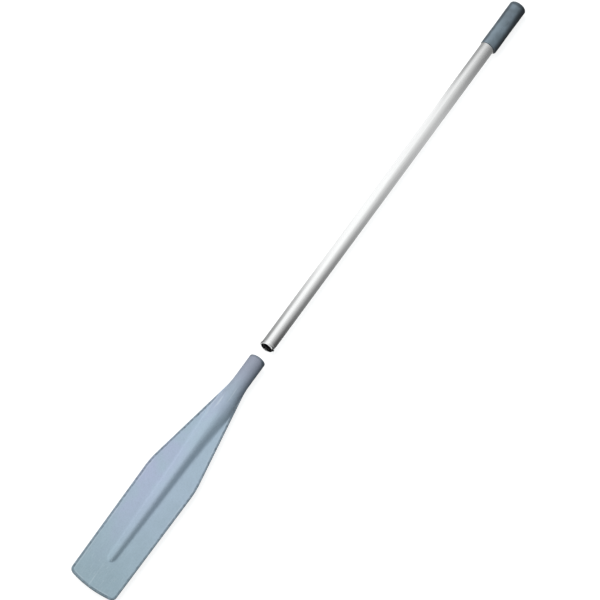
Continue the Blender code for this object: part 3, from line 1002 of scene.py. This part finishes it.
def makeBlade():
    b = blade
    sections = bladeSections()
    bm = bmesh.new()
    upper = [[bladeVert(bm, *point) for point in section] for section in sections]
    lower = []
    for section, top in zip(sections, upper):
        # both skins share the points along their edges
        under = [bladeVert(bm, station, y, -z) for station, y, z in section[1:-1]]
        lower.append(top[:1] + under + top[-1:])
    bridge(bm, upper)
    bridge(bm, lower)
    buildTip(bm, (upper, lower), sections[-1])
    buildSocket(bm, upper[0] + lower[0][-2:0:-1])
    bmesh.ops.remove_doubles(bm, verts=bm.verts, dist=weldDistance)
    bmesh.ops.recalc_face_normals(bm, faces=bm.faces)
    markRim(bm)
    piece = addMesh("blade_moulding", bm)
    coat(piece, bladeFinish())

    # the locking hole and the thumb dish round it are on the underside
    lockX = mouthX - b["lockStation"]
    cut(piece, socketKey(), "UNION")
    cut(piece, solidRod("locking_hole", lockX, b["lockHole"], -b["socket"] * 1.3, -b["bore"] * 0.6, 48))
    cut(piece, thumbDish(lockX))
    sharpen(piece, b["sharpAngle"])
    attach(piece, "blade")
    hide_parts("blade")


# Snap button and spring

button = {
    "radius": 0.004,
    "flange": 0.0011,  # how far its foot is wider
    "flangeHeight": 0.0009,
    "crown": 0.001,
    "crownShare": 0.94,  # the crown stops short of the edge's round
    "edge": 0.0003,
    "sharpAngle": 35,
}

strip = {
    "width": 0.009,
    "thickness": 0.0008,
    "bend": 0.0046,  # radius of the fold, at the strip's middle
    "bendStation": 0.022,  # from the tube's end
    "seat": 0.008,  # flat stretch of the leg before the button
    "seatEase": 0.0012,
    "edge": 0.00025,
    "leg": 0.0026,  # how far the button's leg gives way
    "sharpAngle": 35,
}

steelLook = {
    "base": (0.68, 0.68, 0.67),
    "second": (0.50, 0.50, 0.50),
    "pattern": (900, 2, 0.05, 1, 1),
    "grain": (900, 2, 0.05, 1, 1),
    "grainDepth": 0.000003,
    "roughness": 0.2,
}


def plainFinish(name, look, metallic):
    # a pattern of two colours, the second one a little rougher, and a grain
    finish = Finish(name, look, Metallic=metallic)
    pattern = finish.noise("pattern")
    finish.paint(pattern, "second")
    finish.set("Roughness", look["roughness"] + pattern * 0.2)
    finish.bump(finish.noise("grain"), look["grainDepth"], 0.5)
    return finish.material


def makeButton(material):
    # profile of (depth under the oar's axis, distance from its own), turned along X and
    # then stood upright
    b = button
    radius, edge = b["radius"], b["edge"]
    top, foot = axisZ - buttonLow.z, axisZ - buttonHigh.z
    ball = (radius ** 2 + b["crown"] ** 2) / (2 * b["crown"])
    opened = math.degrees(math.asin(radius / ball)) * b["crownShare"]
    wide, high = radius + b["flange"], foot + b["flangeHeight"]
    profile = arc((top - ball, 0), ball, 0, opened, 12)
    profile += [(top - b["crown"] - edge, radius), (high + edge, radius), (high, radius + edge)]
    profile += [(high, wide - edge / 2), (high - edge / 2, wide), (foot + edge / 2, wide)]
    profile += [(foot, wide - edge / 2), (foot, 0.0)]
    piece = turned("button_turned", profile, material, steps=64, height=0.0)
    piece.data.transform(Matrix.Translation((buttonX, 0, axisZ)) @ Matrix.Rotation(math.pi / 2, 4, "Y"))
    sharpen(piece, b["sharpAngle"])
    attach(piece, "button")
    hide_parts("snap_button")


def makeSpring(material):
    # a folded strip: along the top of the bore, round, and slanting down to the button
    s = strip
    half, wide, edge = s["thickness"] / 2, s["width"] / 2, s["edge"]
    top, seat = springHigh.z - half, springLow.z + half
    start, end = buttonX - s["seat"], springHigh.x
    fold = (tubeLow.x + s["bendStation"], top - s["bend"])
    path = [Vector((end, top)), Vector(((end + fold[0]) / 2, top))]
    path += [Vector(point) for point in arc(fold, s["bend"], 90, 270, 28)]
    # the slanted leg eases into the flat seat
    last = path[-1]
    path += [last.lerp(Vector((start, seat)), share) for share in (0.25, 0.5, 0.75, 0.9)]
    path += [Vector((start + s["seatEase"], seat)), Vector((end, seat))]
    section = [(-wide, -half + edge), (-wide + edge, -half), (wide - edge, -half), (wide, -half + edge)]
    section += [(-y, -t) for y, t in section]
    bm = bmesh.new()
    rings = []
    for i, point in enumerate(path):
        ahead = path[min(i + 1, len(path) - 1)] - path[max(i - 1, 0)]
        aside = Vector((-ahead.y, ahead.x)).normalized()
        places = [(point.x + aside.x * t, y, point.y + aside.y * t) for y, t in section]
        rings.append([bm.verts.new(place) for place in places])
    bridge(bm, rings, closed=True)
    bm.faces.new(rings[0])
    bm.faces.new(reversed(rings[-1]))
    bmesh.ops.recalc_face_normals(bm, faces=bm.faces)
    piece = addMesh("spring_strip", bm)
    coat(piece, material)
    sharpen(piece, s["sharpAngle"])
    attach(piece, "shaft")
    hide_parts("spring_clip")
    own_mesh(piece)


# Inner pieces, which keep their CAD shape and get a finish

foamLook = {
    "base": linear(214, 213, 203),
    "skin": linear(236, 235, 228),
    "cellScale": 900.0,
    "cellDepth": 0.0002,
    "roughness": 0.85,
}

plugLook = {
    "base": linear(30, 31, 33),
    "second": linear(48, 49, 51),
    "pattern": (70, 3),
    "grain": (1500, 2),
    "grainDepth": 0.00004,
    "roughness": 0.4,
}


def foamFinish():
    finish = Finish("bung_foam", foamLook)
    values = {"Vector": finish.place, "Scale": foamLook["cellScale"]}
    cells = finish.node("ShaderNodeTexVoronoi", values=values, output="Distance")
    finish.paint(cells.ramp(0.1, 0.7), "skin")
    finish.set("Roughness", foamLook["roughness"] + cells * 0.1)
    finish.bump(cells, foamLook["cellDepth"], 0.7)
    return finish.material


def finishNodes():
    materials = {"tube_plug": plainFinish("plug_plastic", plugLook, 0.0), "float_bung": foamFinish()}
    for name, material in materials.items():
        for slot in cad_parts[name].material_slots:
            slot.material = material


# Studio

studio = {
    "lean": math.radians(25.5),  # from straight above towards the blade's tip
    "roll": math.radians(53.66),  # slope of the oar in the picture
    "target": (-0.0154, 0.0028, 0.0177),
    "distance": 55.0,
    "frameWidth": 1.192,  # metres across the picture at the oar
    "clip": (1.0, 200.0),
    "keySize": (6.0, 5.0),
    "keyWatts": 437.0,
    "keyFrom": (-0.12, 0.54, 0.77),
    "keyDistance": 6.0,
    "skyColour": (0.80, 0.96, 1.04),
    "skyStrength": 0.25,
}


def aimed(name, data, right, up, back, distance):
    # a camera or light that looks at the target
    holder = addObject(name, data)
    turn = Matrix((right, up, back)).transposed().to_4x4()
    holder.matrix_world = Matrix.Translation(Vector(studio["target"]) + back * distance) @ turn
    return holder


def makeCamera():
    lean, roll = studio["lean"], studio["roll"]
    back = Vector((-math.sin(lean), 0, math.cos(lean)))
    along = Vector((math.cos(lean), 0, math.sin(lean)))
    across = Vector((0, 1, 0))
    right = along * math.cos(roll) - across * math.sin(roll)
    up = along * math.sin(roll) + across * math.cos(roll)
    camera = bpy.data.cameras.new("camera")
    camera.lens = camera.sensor_width * studio["distance"] / studio["frameWidth"]
    camera.clip_start, camera.clip_end = studio["clip"]
    scene.camera = aimed("camera", camera, right, up, back, studio["distance"])


def makeLights():
    key = bpy.data.lights.new("key", "AREA")
    key.shape = "RECTANGLE"
    key.size, key.size_y = studio["keySize"]
    key.energy = studio["keyWatts"]
    towards = Vector(studio["keyFrom"]).normalized()
    side = Vector((1, 0, 0))
    side = (side - towards * side.dot(towards)).normalized()
    holder = aimed("key", key, side, towards.cross(side), towards, studio["keyDistance"])
    # the tent is what the metal mirrors
    holder.visible_glossy = False

    world = bpy.data.worlds.new("sky")
    world.use_nodes = True
    sky = Tree(world.node_tree)
    light = [c * studio["skyStrength"] for c in studio["skyColour"]]
    colour = sky.mix(sky.backdrop(), light, (1.0, 1.0, 1.0))
    sky.feed(world.node_tree.nodes["Background"].inputs["Color"], colour)
    scene.world = world


paper = {
    "base": (0.30, 0.30, 0.30),
    "light": (0.315, 0.315, 0.315),
    "tone": (3, 2),
    "glow": (0.85, 0.85, 0.85),  # what it adds where it is seen
    "size": 20.0,
    "gap": 0.0002,  # under the oar
}


def makeFloor():
    finish = Finish("floor_paper", paper, Roughness=0.9, Emission_Strength=1.0)
    finish.paint(finish.noise("tone"), "light")
    finish.set("Emission Color", finish.mix(finish.backdrop(), (0.0, 0.0, 0.0), paper["glow"]))
    bm = bmesh.new()
    bmesh.ops.create_grid(bm, x_segments=8, y_segments=8, size=paper["size"])
    floor = addMesh("floor", bm)
    floor.location.z = cadBox[0].z - paper["gap"]
    coat(floor, finish.material)


# a cloth tent over the oar, seen only in reflections: a strip on the floor along each side
# and a half round over both, bright on the upper side and darker towards the lower one.
# Stops are (x on the shaft that mirrors it, brightness), and angles are degrees from
# straight up, negative towards the upper side.
tent = {
    "base": (0.0, 0.0, 0.0),
    "radius": 0.30,
    "upperFrom": 0.022,
    "lowerFrom": 0.029,
    "lift": 0.0001,  # over the oar's lowest point
    "low": -0.20,
    "high": 0.80,
    "overhang": 0.05,
    "horizon": [
        (-0.13, 0.30), (-0.01, 0.58), (0.08, 0.95), (0.21, 1.08), (0.50, 1.0), (0.60, 0.42),
        (0.67, 0.35),
    ],
    "bright": [(-0.15, 1.03), (0.00, 1.10), (0.34, 1.08), (0.475, 1.0), (0.61, 0.90), (0.67, 0.71)],
    "dark": [
        (-0.14, 0.05), (-0.075, 0.16), (0.08, 0.27), (0.34, 0.48), (0.475, 0.53), (0.61, 0.30),
        (0.67, 0.22),
    ],
    "horizonSpan": (-92.0, -42.0),
    "fallSpan": (-25.0, 85.0),
    "fallPower": 0.62,
    "quickPower": 0.26,  # how much sooner it falls off half way along the shaft
    "quickFrom": (0.2, 0.33),
    "quickTo": (0.48, 0.65),
    "quickBack": 0.7,
    "gripTurn": 9.0,  # degrees by which all turns near the grip
    "gripSpan": (0.45, 0.6),
}


def tentFinish():
    low, length = tent["low"], tent["high"] - tent["low"]
    finish = Finish("tent_cloth", tent, Roughness=1.0, Emission_Strength=1.0)
    x, y, z = finish.place.xyz()
    mirrored = x - finish.axisDistance() * math.tan(studio["lean"])
    tones = {}
    for name in ("horizon", "bright", "dark"):
        stops = [((at - low) / length, tone) for at, tone in tent[name]]
        values = {"Fac": (mirrored - low) * (1 / length)}
        tones[name] = finish.node("ShaderNodeValToRGB", {"stops": stops}, values)
    turn = (y * -1.0).math("ARCTAN2", z - axisZ) * (180 / math.pi)
    turn = turn + mirrored.ramp(*tent["gripSpan"]) * tent["gripTurn"]
    quick = mirrored.ramp(*tent["quickFrom"]) - mirrored.ramp(*tent["quickTo"]) * tent["quickBack"]
    fall = turn.ramp(*tent["fallSpan"]).math("POWER", tent["fallPower"] - quick * tent["quickPower"])
    tone = finish.mix(fall, tones["bright"], tones["dark"])
    tone = finish.mix(turn.ramp(*tent["horizonSpan"]), tones["horizon"], tone)
    finish.set("Emission Color", tone)
    return finish.material


def makeTent():
    radius = tent["radius"]
    ground = cadBox[0].z + tent["lift"]
    line = [(tent["upperFrom"], ground), (radius, ground)]
    line += arc((0, axisZ), radius, 3, 177, 29)
    line += [(-radius, ground), (-tent["lowerFrom"], ground)]
    ends = (tent["low"] - tent["overhang"], tent["high"] + radius)
    corners = [(x, y, z) for y, z in line for x in ends]
    faces = [(2 * i, 2 * i + 1, 2 * i + 3, 2 * i + 2) for i in range(len(line) - 1)]
    mesh = bpy.data.meshes.new("tent")
    mesh.from_pydata(corners, [], faces)
    cloth = addObject("tent", mesh)
    coat(cloth, tentFinish())
    for rays in ("camera", "diffuse", "shadow", "transmission"):
        setattr(cloth, "visible_" + rays, False)


makeCamera()
print("camera placed")
makeTube()
print("tube turned and cut")
makeGrip()
print("grip turned")
makeBlade()
print("blade lofted")
steel = plainFinish("spring_steel", steelLook, 1.0)
makeButton(steel)
makeSpring(steel)
finishNodes()
print("button, spring and inner pieces finished")
makeLights()
makeFloor()
makeTent()
scene.view_settings.view_transform = "Standard"
print("studio lit")
